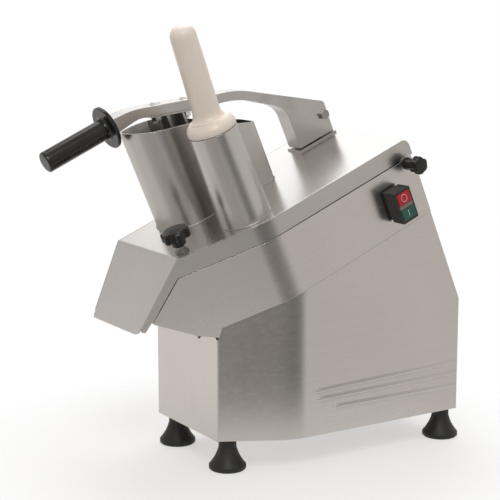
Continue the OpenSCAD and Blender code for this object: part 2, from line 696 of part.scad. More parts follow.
module small_tube() color("Silver") lidf() translate([tube_s, -tube_y, 0]) {
  k = (tube_r - tube_top) / tube_h;
  difference() {
    cylinder(r1 = tube_r, r2 = tube_top, h = tube_h);
    translate([0, 0, -1]) cylinder(r1 = tube_in + k, r2 = tube_top - sheet - k, h = tube_h + 2);
  }
}
// the collar rests on the tube; the grip leans back a little
module pestle() color("Ivory") lidf() translate([tube_s, -tube_y, 0]) {
  rim = tube_h + 0.3;
  foot = tube_h + 8;
  len = pestle_top - foot;
  neck = pestle_r + 7;
  rotate_extrude() polygon(concat([[0, -4], [pestle_body - 1.5, -4], [pestle_body, -2.5], [pestle_body, rim],
    [tube_top - 1, rim]], bez([tube_top, rim + 1], [tube_top + 2, rim + 9], [neck, rim + 15], 8),
    [[0, rim + 15]]));
  translate([0, 0, foot]) rotate([0, pestle_lean, 0]) rotate_extrude()
    polygon(concat([[0, 0], [neck - 0.6, 0]], bez([neck - 0.6, 7], [pestle_r + 0.4, 9.6], [pestle_r, 19], 6),
      bez([pestle_end, len - 15], [pestle_end, len], [0, len], 10)));
}

// Lever

module lever_profile() {
  fz = 4.5;
  pv = lidpt(pivot_s, pivot_h);
  polygon(concat([grip_pt(3, 9.7)], bez([-74, 452.6], [-64, 456], [-50, 457.8], 4),
    bez([56, 470.52], pv + [-137, 39.4], pv + [-110, 34.2]), [pv + [-9, 19.2]],
    bez(pv + [-3, 18.4], pv + [1, 17.6], pv + [2, 13.8], 4),
    [lidpt(pivot_s + 7, fz), lidpt(pivot_s - 51, fz)],
    bez(pv + [-55, -2.2], pv + [-62, 12.8], pv + [-85, 16.4]),
    bez(pv + [-112, 22], pv + [-138, 27.4], [60, 458.6]), [[-50, 445.4]],
    bez([-56, 444.2], [-66, 440], grip_pt(3, -9.7), 4)));
}
function grip_pt(a, b) = [grip_x + a * cos(grip_slope) - b * sin(grip_slope),
  grip_z + a * sin(grip_slope) + b * cos(grip_slope)];
function lidpt(s, h) = [s * cs - h * sn - overhang, lid_z + s * sn + h * cs];
module lever_arm() color("Silver") place() {
  difference() {
    side(lever_y - lever_w / 2, lever_y + lever_w / 2) lever_profile();
    side(lever_y - fork_in / 2, lever_y + fork_in / 2)
      polygon([lidpt(pivot_s - 47, -5), lidpt(pivot_s + 30, -5), lidpt(pivot_s + 30, pivot_h - 4),
        lidpt(pivot_s - 47, pivot_h + 42)]);
    translate([lidpt(pivot_s, pivot_h)[0], 0, lidpt(pivot_s, pivot_h)[1]]) bar(4, 0, 200);
    under_arm() for (x = bolt_spots) translate([x, 0, -20]) cylinder(r = 4, h = 60);
  }
  translate([grip_x, lever_y, grip_z]) rotate([0, -90 - grip_slope, 0]) translate([0, 0, -12])
    cylinder(r = 6, h = 62);
}
module lever_grip() color([0.07, 0.07, 0.07]) place() translate([grip_x, lever_y, grip_z])
  rotate([0, -90 - grip_slope, 0]) difference() {
    rotate_extrude() polygon(concat([[0, -3], [guard_r - 1, -3], [guard_r, -2], [guard_r, 1],
      [guard_r - 1, 2]], bez([grip_r + 4, 2], [grip_r, 2], [grip_r, 6], 4),
      grip_end, [[0, grip_len + 2]]));
    translate([0, 0, -12]) cylinder(r = 6, h = 62);
  }
// frame on the underside of the straight part of the lever
module under_arm() translate([-2, lever_y, 451.16]) rotate([0, -arm_slope, 0]) children();
module armf() place() under_arm() children();
module pusher_stem() color("LightGray") {
  armf() difference() {
    translate([-36, -11, -3]) cube([72, 22, 3]);
    for (x = bolt_spots) translate([x, 0, -5]) cylinder(r = 4, h = 10);
  }
  difference() {
    lidf() translate([disc_s - 15, lever_y - 10, 7]) difference() {
      cube([25, 20, 130]);
      translate([3, -1, -1]) cube([19, 18, 140]);
    }
    armf() translate([-60, -40, -3]) cube([140, 80, 60]);
  }
}
module pusher_plate() color("LightGray") lidf() slab(2, 7) intersection() {
  hopper_plan(sheet + 3);
  translate([-20, 0]) hopper_plan(sheet + 2);
}
module lever_bolts() color("Gray") armf() for (x = bolt_spots) translate([x, 0, 0]) {
  translate([0, 0, -12]) cylinder(r = 4, h = 13 + arm_t);
  translate([0, 0, -9]) cylinder(r = 7, h = 6, $fn = 6);
  translate([0, 0, arm_t]) cylinder(r1 = 7.5, r2 = 4.5, h = 3, $fn = 32);
}
module lever_post() color("Silver") lidf() difference() {
  union() {
    translate([pivot_s - 54, lever_y - lever_w / 2 - 1, 0]) cube([64, lever_w + 2, 2.6]);
    side(lever_y - fork_in / 2 + 0.7, lever_y + fork_in / 2 - 0.7) {
      translate([pivot_s, pivot_h]) circle(10);
      translate([pivot_s - 10, 1]) square([20, pivot_h - 1]);
    }
  }
  translate([pivot_s, 0, pivot_h]) bar(6, 0, 200);
}
module pivot_bush() color("Goldenrod") lidf() translate([pivot_s, 0, pivot_h]) difference() {
  bar(6, lever_y - fork_in / 2 + 0.5, lever_y + fork_in / 2 - 0.5);
  bar(4 + fit, 0, 200);
}
module pivot_bolt() color("Gray") lidf() translate([pivot_s, 0, pivot_h]) {
  bar(4, lever_y - lever_w / 2 - 3, lever_y + lever_w / 2 + 8);
  translate([0, lever_y - lever_w / 2 - 5, 0]) rotate([-90, 30, 0]) cylinder(r = 7, h = 5, $fn = 6);
  translate([0, lever_y + lever_w / 2, 0]) rotate([-90, 0, 0]) cylinder(r = 7, h = 6, $fn = 6);
}

// Knobs

module front_washer() color("Silver") lidf() translate([clamp_s, -clamp_y, 0]) {
  ring(9, 4 + fit, 0.3, 1.8);
  ring(7.2, 4 + fit, 1.7, 3.4);
  ring(5.2, 4 + fit, 3.3, 8);
}
module front_knob() color([0.07, 0.07, 0.07]) lidf() translate([clamp_s, -clamp_y, 0]) {
  translate([0, 0, -12]) cylinder(r = 4, h = 24);
  rotate_extrude() polygon([[0, 8.3], [7.5, 8.3], [9, 10], [9.4, 17], [11, 20], [0, 20]]);
  translate([0, 0, 18]) star(knob_r, 13);
}
module rear_washer() color("Silver") lidf() translate([hinge_s, 0, -hinge_drop])
  difference() {
    bar(8, -hw - 2.1, -hw - 0.3);
    bar(pin_r + fit, -hw - 5, -hw + 5);
  }
module rear_knob() color([0.07, 0.07, 0.07]) lidf() translate([hinge_s, -hw - 2.4, -hinge_drop])
  rotate([90, 0, 0]) difference() {
    union() {
      cylinder(r1 = 7.5, r2 = 6.5, h = 15.2);
      translate([0, 0, 13.6]) star(rear_knob_r, 12);
    }
    translate([0, 0, -1]) cylinder(r = pin_r, h = 13);
  }
module hinge_pin() color("Gray") lidf() translate([hinge_s, 0, -hinge_drop]) {
  bar(pin_r, -hw - 14.4, hw + pin_end - 1);
  translate([0, hw + pin_end - 1, 0]) bar(pin_r - 1, 0, 1);
}

base_casing();
front_panel();
bottom_plate();
rubber_feet();
foot_screws();
head_housing();
cutting_tub();
outlet_slide();
bearing_housing();
upper_bearing();
lower_bearing();
shaft_seal();
motor_body();
motor_shield();
fan_cover();
motor_plate();
capacitor();
drive_belt();
switch_housing();
lamp_window();
contact_block();
lid_sensor();
cable_gland();
hinge_brackets();
clamp_boss();
main_shaft();
driven_pulley();
drive_hub();
cutting_disc();
disc_knives();
ejector_disc();
lock_screw();
motor_shaft();
motor_pulley();
cooling_fan();
lid();
lid_sides();
lid_ears();
large_hopper();
small_tube();
lever_post();
pivot_bush();
sensor_magnet();
lever_arm();
lever_grip();
pusher_stem();
pusher_plate();
lever_bolts();
pivot_bolt();
pestle();
front_washer();
front_knob();
rear_washer();
rear_knob();
hinge_pin();
stop_button();
start_button();
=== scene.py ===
"""Vegetable cutting machine: finishes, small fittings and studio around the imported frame."""

import logging
import math
from dataclasses import dataclass, field
from enum import Enum
from typing import Any, Mapping, Sequence, Union

import bmesh
import bpy
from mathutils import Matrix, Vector


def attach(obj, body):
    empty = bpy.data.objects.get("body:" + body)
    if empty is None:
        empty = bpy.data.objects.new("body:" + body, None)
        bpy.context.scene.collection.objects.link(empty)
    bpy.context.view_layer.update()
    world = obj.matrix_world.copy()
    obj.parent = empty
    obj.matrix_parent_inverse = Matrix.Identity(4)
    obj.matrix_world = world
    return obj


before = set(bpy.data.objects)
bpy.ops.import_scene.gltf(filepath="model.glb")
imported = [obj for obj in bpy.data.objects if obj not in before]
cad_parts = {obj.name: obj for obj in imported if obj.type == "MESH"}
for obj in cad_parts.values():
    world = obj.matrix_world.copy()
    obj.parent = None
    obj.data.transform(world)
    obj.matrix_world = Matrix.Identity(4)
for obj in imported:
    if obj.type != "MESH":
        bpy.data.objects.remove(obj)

LOG = logging.getLogger("vegetable_cutter")
MM = 0.001

# Slope of the lid, and the directions along, across and above it
TILT = math.radians(23.1)
ALONG = Vector((math.cos(TILT), 0.0, math.sin(TILT)))
ACROSS = Vector((0.0, 1.0, 0.0))
ABOVE = Vector((-math.sin(TILT), 0.0, math.cos(TILT)))

# Front edge of the lid from the machine's origin
LID_FRONT = Vector((-59.0, 0.0, 282.4)) * MM

# Rays that soften an edge, and the middle of a cloudy value
EDGE_SAMPLES = 6
MIDDLE = 0.5

Colour = tuple[float, float, float]
Rgba = tuple[float, float, float, float]
Point2 = tuple[float, float]
Pair = tuple[float, float]
Line = tuple[float, float, float, float]
Key = Union[str, int]


class Axis(Enum):
    """Axes of the shared frame, by their place in a vector."""

    X = 0
    Y = 1


def reach_of(name: str, axis: Axis) -> Pair:
    """Gives how far a node reaches along an axis.

    Args:
        name: the node's name.
        axis: the axis.

    Returns:
        The least and the greatest place, in metres.
    """
    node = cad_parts[name]
    places = [(node.matrix_world @ Vector(corner))[axis.value] for corner in node.bound_box]
    return min(places), max(places)


# The machine's origin: front of the casing, middle of the lid, level of the floor
MACHINE = Vector((reach_of("base_casing", Axis.X)[0], sum(reach_of("lid", Axis.Y)) / 2.0, 0.0))
LID_ORIGIN = MACHINE + LID_FRONT


def rgba(colour: Colour, times: float = 1.0, plus: float = 0.0) -> Rgba:
    """Gives an opaque colour, made lighter or darker.

    Args:
        colour: red, green and blue.
        times: what each is multiplied by.
        plus: what each gains after that.

    Returns:
        The colour, none of it over 1.
    """
    red, green, blue = (min(1.0, part * times + plus) for part in colour)
    return red, green, blue, 1.0


def add_object(name: str, data: bpy.types.ID) -> bpy.types.Object:
    """Puts a mesh, lamp or camera into the scene.

    Args:
        name: the object's name.
        data: what it shows.

    Returns:
        The new object.
    """
    made = bpy.data.objects.new(name, data)
    bpy.context.scene.collection.objects.link(made)
    return made


def aim(made: bpy.types.Object, target: Vector) -> None:
    """Turns a camera or lamp toward a point."""
    made.rotation_euler = (target - made.location).to_track_quat("-Z", "Y").to_euler()


def on_lid(s: float, y: float, h: float) -> Vector:
    """Gives the place of a point on the lid.

    Args:
        s: distance along the slope from the front edge, in millimetres.
        y: distance across from the middle of the rear, in millimetres.
        h: height over the lid, in millimetres.

    Returns:
        The point in the shared frame, in metres.
    """
    return LID_ORIGIN + (ALONG * s + ACROSS * y + ABOVE * h) * MM


class Sock:
    """A shader socket that takes part in Python expressions."""

    def __init__(self, graph: "Graph", socket: bpy.types.NodeSocket) -> None:
        """Keeps the socket and the tree it belongs to."""
        self.graph = graph
        self.socket = socket

    def __add__(self, other: "Num") -> "Sock":
        """Adds two values."""
        return self.graph.calc("ADD", self, other)

    def __radd__(self, other: "Num") -> "Sock":
        """Adds two values, number first."""
        return self.graph.calc("ADD", other, self)

    def __sub__(self, other: "Num") -> "Sock":
        """Subtracts a value from this one."""
        return self.graph.calc("SUBTRACT", self, other)

    def __rsub__(self, other: "Num") -> "Sock":
        """Subtracts this value from a number."""
        return self.graph.calc("SUBTRACT", other, self)

    def __mul__(self, other: "Num") -> "Sock":
        """Multiplies two values."""
        return self.graph.calc("MULTIPLY", self, other)

    def __rmul__(self, other: "Num") -> "Sock":
        """Multiplies two values, number first."""
        return self.graph.calc("MULTIPLY", other, self)

    def __truediv__(self, other: "Num") -> "Sock":
        """Divides this value by another."""
        return self.graph.calc("DIVIDE", self, other)

    def __rtruediv__(self, other: "Num") -> "Sock":
        """Divides a number by this value."""
        return self.graph.calc("DIVIDE", other, self)


Num = Union[Sock, float]


class Graph:
    """The node tree of one material or of the world."""

    def __init__(self, tree: bpy.types.NodeTree) -> None:
        """Empties the tree and keeps it."""
        self.tree = tree
        tree.nodes.clear()

    def node(
        self,
        kind: str,
        settings: Mapping[str, Any] | None = None,
        sockets: Mapping[Key, Any] | None = None,
    ) -> bpy.types.Node:
        """Adds any node.

        Args:
            kind: the node's type.
            settings: its own settings, set first.
            sockets: values or links for its inputs, by name or number.

        Returns:
            The new node.
        """
        made = self.tree.nodes.new(kind)
        for key, value in (settings or {}).items():
            setattr(made, key, value)
        for key, value in (sockets or {}).items():
            if isinstance(value, Sock):
                self.tree.links.new(value.socket, made.inputs[key])
            else:
                made.inputs[key].default_value = value
        return made

    def get(
        self,
        kind: str,
        settings: Mapping[str, Any] | None = None,
        sockets: Mapping[Key, Any] | None = None,
        out: Key = 0,
    ) -> Sock:
        """Adds a node and gives one of its outputs.

        Args:
            kind: the node's type.
            settings: its own settings.
            sockets: values or links for its inputs.
            out: name or number of the output.

        Returns:
            The output as a value for expressions.
        """
        return Sock(self, self.node(kind, settings, sockets).outputs[out])

    def calc(self, operation: str, a: Num, b: Num) -> Sock:
        """Joins two values by one Math node."""
        return self.get("ShaderNodeMath", {"operation": operation}, {0: a, 1: b})

    def dot(self, vector: Sock, axis: Sequence[float]) -> Sock:
        """Gives how far a vector reaches along an axis.

        Args:
            vector: the vector.
            axis: the axis, of length 1.

        Returns:
            The reach.
        """
        return self.get(
            "ShaderNodeVectorMath",
            {"operation": "DOT_PRODUCT"},
            {0: vector, 1: tuple(axis)},
            "Value",
        )

    def span(self, value: Num, lo: float, hi: float, a: float = 0.0, b: float = 1.0) -> Sock:
        """Maps a value softly from one span to another.

        Args:
            value: what is mapped.
            lo: where the change starts.
            hi: where the change ends.
            a: the result at the start.
            b: the result at the end.

        Returns:
            The mapped value.
        """
        return self.get(
            "ShaderNodeMapRange",
            {"interpolation_type": "SMOOTHSTEP"},
            {"Value": value, "From Min": lo, "From Max": hi, "To Min": a, "To Max": b},
        )

    def blend(self, share: Num, a: Any, b: Any) -> Sock:
        """Mixes two colours by a share."""
        return self.get("ShaderNodeMix", {"data_type": "RGBA"}, {0: share, 6: a, 7: b}, 2)

    def toned(self, colour: Colour, tone: Num) -> Sock:
        """Gives a colour times a tone between a half and one and a half."""
        return self.blend(tone - 0.5, rgba(colour, 0.5), rgba(colour, 1.5))

    def pack(self, x: Num, y: Num, z: Num) -> Sock:
        """Joins three values to a vector."""
        return self.get("ShaderNodeCombineXYZ", None, {0: x, 1: y, 2: z})

    def noise(self, vector: Sock, scale: float, detail: float = 2.0, rough: float = 0.5) -> Sock:
        """Gives a cloudy value between 0 and 1.

        Args:
            vector: where it is looked up.
            scale: how fine it is.
            detail: how many finer layers it has.
            rough: how strong the finer layers are.

        Returns:
            The value.
        """
        return self.get(
            "ShaderNodeTexNoise",
            None,
            {"Vector": vector, "Scale": scale, "Detail": detail, "Roughness": rough},
        )

    def place(self) -> Sock:
        """Gives a piece's own coordinates, in metres."""
        return self.get("ShaderNodeTexCoord", None, None, "Object")

    def relief(self, height: Num, depth: float, strength: float = 1.0, edge: float = 0.0) -> Sock:
        """Turns a height into a bumped normal.

        Args:
            height: the height, from 0 to 1.
            depth: what 1 is, in metres.
            strength: how much of it shows.
            edge: radius that softens the piece's edges, in metres.

        Returns:
            The normal.
        """
        sockets: dict[Key, Any] = {"Height": height, "Distance": depth, "Strength": strength}
        if edge > 0.0:
            sockets["Normal"] = self.get("ShaderNodeBevel", {"samples": EDGE_SAMPLES}, {"Radius": edge})
        return self.get("ShaderNodeBump", None, sockets)


class Grain(Enum):
    """Ways in which a sheet is brushed, as the axes along, across and through the grain."""

    LENGTH = ((1.0, 0.0, 0.0), (0.0, 1.0, 0.0), (0.0, 0.0, 1.0))
    UPRIGHT = ((0.0, 0.0, 1.0), (1.0, 0.0, 0.0), (0.0, 1.0, 0.0))
    SLOPE = (tuple(ALONG), tuple(ACROSS), tuple(ABOVE))
    FEED = (tuple(ABOVE), tuple(ALONG), tuple(ACROSS))


@dataclass(frozen=True)
class Cloud:
    """A cloudy pattern, by its cycles per metre, its finer layers and their strength."""

    scale: float
    detail: float = 2.0
    rough: float = 0.5

    def at(self, graph: Graph, vector: Sock) -> Sock:
        """Gives the pattern's value at a place, from 0 to 1."""
        return graph.noise(vector, self.scale, self.detail, self.rough)


@dataclass(frozen=True)
class Finish:
    """A finish that makes its material once and keeps it by name."""

    name: str

    def material(self) -> bpy.types.Material:
        """Gives the material, built at the first call.

        Returns:
            The material.
        """
        label = f"{self.name}_finish"
        found = bpy.data.materials.get(label)
        if found is not None:
            return found
        made = bpy.data.materials.new(label)
        made.use_nodes = True
        graph = Graph(made.node_tree)
        sockets = self.surface(graph)
        shader = graph.get("ShaderNodeBsdfPrincipled", None, sockets)
        graph.node("ShaderNodeOutputMaterial", None, {"Surface": shader})
        return made

    def surface(self, graph: Graph) -> dict[Key, Any]:
        """Gives the shader's sockets."""
        raise NotImplementedError


@dataclass(frozen=True)
class BrushedSteel(Finish):
    """Sheet steel brushed one way, with soft clouds and hand marks.

    A streak's two numbers are its cycles per metre along and across the grain.
    """

    colour: Colour = (0.56, 0.528, 0.5)
    rough: float = 0.3
    grain: Grain = Grain.LENGTH
    depth: float = 0.000008
    bump: float = 0.4
    clouds: float = 0.05
    edge: float = 0.0007
    fine_streak: Pair = (30.0, 1900.0)
    fine_layers: Cloud = Cloud(1.0, 3.0, 0.6)
    fine_share: float = 0.5
    fine_height: float = 0.7
    broad_streak: Pair = (7.0, 210.0)
    broad_layers: Cloud = Cloud(1.0)
    broad_share: float = 0.6
    streak_tone: float = 0.14
    streak_rough: float = 0.1
    cloud: Cloud = Cloud(9.0, 3.0)
    cloud_rough: float = 0.03
    mark: Cloud = Cloud(38.0, 4.0, 0.62)
    mark_span: Pair = (0.56, 0.74)
    mark_tone: float = 0.012
    mark_rough: float = 0.015

    def surface(self, graph: Graph) -> dict[Key, Any]:
        """Gives the sockets of brushed steel.

        Args:
            graph: the tree to build in.

        Returns:
            Values and links by socket name.
        """
        place = graph.place()
        fine = self.fine_layers.at(graph, self.stretched(graph, place, self.fine_streak))
        broad = self.broad_layers.at(graph, self.stretched(graph, place, self.broad_streak))
        cloud = self.cloud.at(graph, place) - MIDDLE
        marks = graph.span(self.mark.at(graph, place), *self.mark_span)
        streak = (fine - MIDDLE) * self.fine_share + (broad - MIDDLE) * self.broad_share
        tone = 1.0 + streak * self.streak_tone + cloud * (2.0 * self.clouds) - marks * self.mark_tone
        # Painted shade along the pressed lines and the seam is taken off the tone here
        tone = tone - self.crease_shade(graph, place)
        rough = self.rough + streak * self.streak_rough + marks * self.mark_rough + cloud * self.cloud_rough
        height = fine * self.fine_height + broad * (1.0 - self.fine_height)
        return {
            "Base Color": graph.toned(self.colour, tone),
            "Metallic": 1.0,
            "Roughness": rough,
            "Normal": graph.relief(height, self.depth, self.bump, self.edge),
        }

    def stretched(self, graph: Graph, place: Sock, streak: Pair) -> Sock:
        """Gives a place drawn out along the grain.

        Args:
            graph: the tree to build in.
            place: the piece's own coordinates.
            streak: cycles per metre along and across the grain.

        Returns:
            Where a pattern of streaks is looked up.
        """
        along, across, through = (graph.dot(place, axis) for axis in self.grain.value)
        return graph.pack(along * streak[0], across * streak[1], through * streak[1])

    def crease_shade(self, graph: Graph, place: Sock) -> Num:
        """Gives how much painted shade is taken off the sheet's tone; plain brushed steel has none.

        Args:
            graph: the tree to build in.
            place: the piece's own coordinates.

        Returns:
            The share that is taken off the tone.
        """
        return 0.0


@dataclass(frozen=True)
class PressedSteel(BrushedSteel):
    """Brushed sheet with pressed lines and a seam on its near face, with shade painted along their edges.

    A line runs between two places along and up the face, in millimetres. Spans that start or
    fade a line are shares of its length, and the others are heights over it in millimetres.
    """

    lines: tuple[Line, ...] = ()
    seam: Line = (0.0, 0.0, 1.0, 0.0)
    near: float = -90.0
    near_soft: float = 2.0
    upper: float = 0.34
    lower: float = 0.05
    line_start: Pair = (-0.05, 0.04)
    line_fade: Pair = (0.1, 1.0)
    line_end: float = 0.25
    above_in: Pair = (-1.5, 2.2)
    above_out: Pair = (2.4, 5.2)
    below_in: Pair = (-9.0, -2.8)
    below_out: Pair = (-2.8, -1.2)
    seam_start: Pair = (0.0, 0.06)
    seam_in: Pair = (-1.8, -0.6)

    @staticmethod
    def beside(x: Sock, z: Sock, line: Line) -> tuple[Sock, Sock]:
        """Gives where a point lies beside a line.

        Args:
            x: the point's place along the machine, in metres.
            z: its height, in metres.
            line: both ends of the line.

        Returns:
            The share of the line's length, and the height over the line in millimetres.
        """
        x0, z0, x1, z1 = line
        run = (x - (MACHINE.x + x0 * MM)) / ((x1 - x0) * MM)
        over = (z - z0 * MM - run * ((z1 - z0) * MM)) / MM
        return run, over

    def crease_shade(self, graph: Graph, place: Sock) -> Num:
        """Gives the shade painted along the pressed lines and the seam.

        Args:
            graph: the tree to build in.
            place: the piece's own coordinates.

        Returns:
            The share that is taken off the tone.
        """
        x, y, z = (graph.dot(place, axis) for axis in Grain.LENGTH.value)
        # Painted shade: dark bands above and below each pressed line and along the seam
        shade_total: Num = 0.0
        for line in self.lines:
            run, over = self.beside(x, z, line)
            ends = graph.span(run, *self.line_start) * graph.span(run, *self.line_fade, 1.0, self.line_end)
            above = graph.span(over, *self.above_in) * graph.span(over, *self.above_out, 1.0, 0.0)
            below = graph.span(over, *self.below_in) * graph.span(over, *self.below_out, 1.0, 0.0)
            shade_total = shade_total + ends * (above * self.upper + below * self.lower)
        run, over = self.beside(x, z, self.seam)
        shade_total = shade_total + graph.span(over, *self.seam_in) * graph.span(run, *self.seam_start) * self.upper
        # The painted shade is kept to the near face only
        face = MACHINE.y + self.near * MM
        soft = self.near_soft * MM
        return shade_total * graph.span(y, face - soft, face + soft, 1.0, 0.0)


@dataclass(frozen=True)
class TurnedSteel(Finish):
    """Metal with fine rings round an axis over the lid."""

    colour: Colour = (0.62, 0.61, 0.6)
    rough: float = 0.26
    centre: Point2 = (120.0, 0.0)
    rings: float = 900.0
    ring_layers: Cloud = Cloud(1.0, 3.0)
    ring_share: float = 0.35
    ring_rough: float = 0.14
    soil: Cloud = Cloud(26.0, 4.0)
    soil_share: float = 0.3
    soil_rough: float = 0.1
    deep: float = 0.72
    depth: float = 0.00003
    bump: float = 0.5
    edge: float = 0.0006

    def surface(self, graph: Graph) -> dict[Key, Any]:
        """Gives the sockets of a turned face.

        Args:
            graph: the tree to build in.

        Returns:
            Values and links by socket name.
        """
        place = graph.place()
        hub = on_lid(self.centre[0], self.centre[1], 0.0)
        u = graph.dot(place, ALONG) - hub.dot(ALONG)
        v = graph.dot(place, ACROSS) - hub.dot(ACROSS)
        radius = graph.get("ShaderNodeMath", {"operation": "SQRT"}, {0: u * u + v * v})
        ring = self.ring_layers.at(graph, graph.pack(radius * self.rings, 0.0, 0.0))
        soil = self.soil.at(graph, place)
        share = ring * self.ring_share + soil * self.soil_share
        return {
            "Base Color": graph.blend(share, rgba(self.colour), rgba(self.colour, self.deep)),
            "Metallic": 1.0,
            "Roughness": self.rough + (ring - MIDDLE) * self.ring_rough + (soil - MIDDLE) * self.soil_rough,
            "Normal": graph.relief(ring, self.depth, self.bump, self.edge),
        }


@dataclass(frozen=True)
class CastMetal(Finish):
    """Cast, blasted or plated metal with a fine pebbled skin."""

    colour: Colour = (0.7, 0.69, 0.68)
    rough: float = 0.38
    grit: float = 900.0
    grit_share: float = 0.2
    grit_rough: float = 0.12
    grit_height: float = 0.6
    depth: float = 0.000025
    bump: float = 0.7
    metallic: float = 1.0
    edge: float = 0.001
    cloud: Cloud = Cloud(22.0, 4.0, 0.55)
    cloud_rough: float = 0.16
    worn_span: Pair = (0.52, 0.72)
    worn_share: float = 0.55
    dull: float = 0.8

    def surface(self, graph: Graph) -> dict[Key, Any]:
        """Gives the sockets of a cast skin.

        Args:
            graph: the tree to build in.

        Returns:
            Values and links by socket name.
        """
        place = graph.place()
        grit = Cloud(self.grit).at(graph, place)
        cloud = self.cloud.at(graph, place)
        worn = graph.span(cloud, *self.worn_span)
        share = worn * self.worn_share + grit * self.grit_share
        rough = self.rough + (cloud - MIDDLE) * self.cloud_rough + (grit - MIDDLE) * self.grit_rough
        height = grit * self.grit_height + cloud * (1.0 - self.grit_height)
        return {
            "Base Color": graph.blend(share, rgba(self.colour), rgba(self.colour, self.dull)),
            "Metallic": self.metallic,
            "Roughness": rough,
            "Normal": graph.relief(height, self.depth, self.bump, self.edge),
        }


@dataclass(frozen=True)
class Moulded(Finish):
    """Moulded plastic or rubber with a fine skin, dust and rubbed places."""

    colour: Colour = (0.02, 0.02, 0.019)
    rough: float = 0.34
    skin: float = 1500.0
    skin_share: float = 0.3
    skin_rough: float = 0.1
    depth: float = 0.00003
    bump: float = 0.6
    dust: float = 0.03
    coat: float = 0.0
    coat_rough: float = 0.12
    gloss: float = 0.4
    edge: float = 0.0008
    soil: Cloud = Cloud(60.0, 5.0, 0.6)
    soil_span: Pair = (0.45, 0.75)
    soil_share: float = 0.7
    soil_rough: float = 0.12

    def surface(self, graph: Graph) -> dict[Key, Any]:
        """Gives the sockets of a moulding.

        Args:
            graph: the tree to build in.

        Returns:
            Values and links by socket name.
        """
        place = graph.place()
        skin = Cloud(self.skin).at(graph, place)
        soil = graph.span(self.soil.at(graph, place), *self.soil_span)
        share = soil * self.soil_share + (skin - MIDDLE) * self.skin_share
        return {
            "Base Color": graph.blend(share, rgba(self.colour), rgba(self.colour, plus=self.dust)),
            "Roughness": self.rough + soil * self.soil_rough + (skin - MIDDLE) * self.skin_rough,
            "Specular IOR Level": self.gloss,
            "Coat Weight": self.coat,
            "Coat Roughness": self.coat_rough,
            "Normal": graph.relief(skin, self.depth, self.bump, self.edge),
        }


@dataclass(frozen=True)
class FoodPlastic(Finish):
    """Warm white food plastic, slightly see-through, with turning marks."""

    colour: Colour = (0.82, 0.735, 0.66)
    warmth: Colour = (0.93, 0.9, 0.85)
    rough: float = 0.36
    turning: float = 1300.0
    turn_rough: float = 0.1
    depth: float = 0.00002
    bump: float = 0.4
    cloud: Cloud = Cloud(17.0, 4.0, 0.55)
    cloud_span: Pair = (0.35, 0.75)
    cloud_share: float = 0.6
    rub: Cloud = Cloud(85.0, 5.0, 0.62)
    rub_span: Pair = (0.55, 0.8)
    rub_share: float = 0.3
    rub_rough: float = 0.1
    inner: float = 0.35
    inner_radius: Colour = (0.012, 0.009, 0.007)
    inner_scale: float = 0.5
    coat: float = 0.25
    coat_rough: float = 0.2

    def surface(self, graph: Graph) -> dict[Key, Any]:
        """Gives the sockets of the white plastic.

        Args:
            graph: the tree to build in.

        Returns:
            Values and links by socket name.
        """
        place = graph.place()
        height = graph.dot(place, ABOVE)
        turn = Cloud(1.0).at(graph, graph.pack(height * self.turning, 0.0, 0.0))
        cloud = graph.span(self.cloud.at(graph, place), *self.cloud_span)
        rub = graph.span(self.rub.at(graph, place), *self.rub_span)
        share = cloud * self.cloud_share + rub * self.rub_share
        red, green, blue = (part * times for part, times in zip(self.colour, self.warmth))
        return {
            "Base Color": graph.blend(share, rgba(self.colour), rgba((red, green, blue))),
            "Roughness": self.rough + (turn - MIDDLE) * self.turn_rough + rub * self.rub_rough,
            "Subsurface Weight": self.inner,
            "Subsurface Radius": self.inner_radius,
            "Subsurface Scale": self.inner_scale,
            "Coat Weight": self.coat,
            "Coat Roughness": self.coat_rough,
            "Normal": graph.relief(turn, self.depth, self.bump),
        }


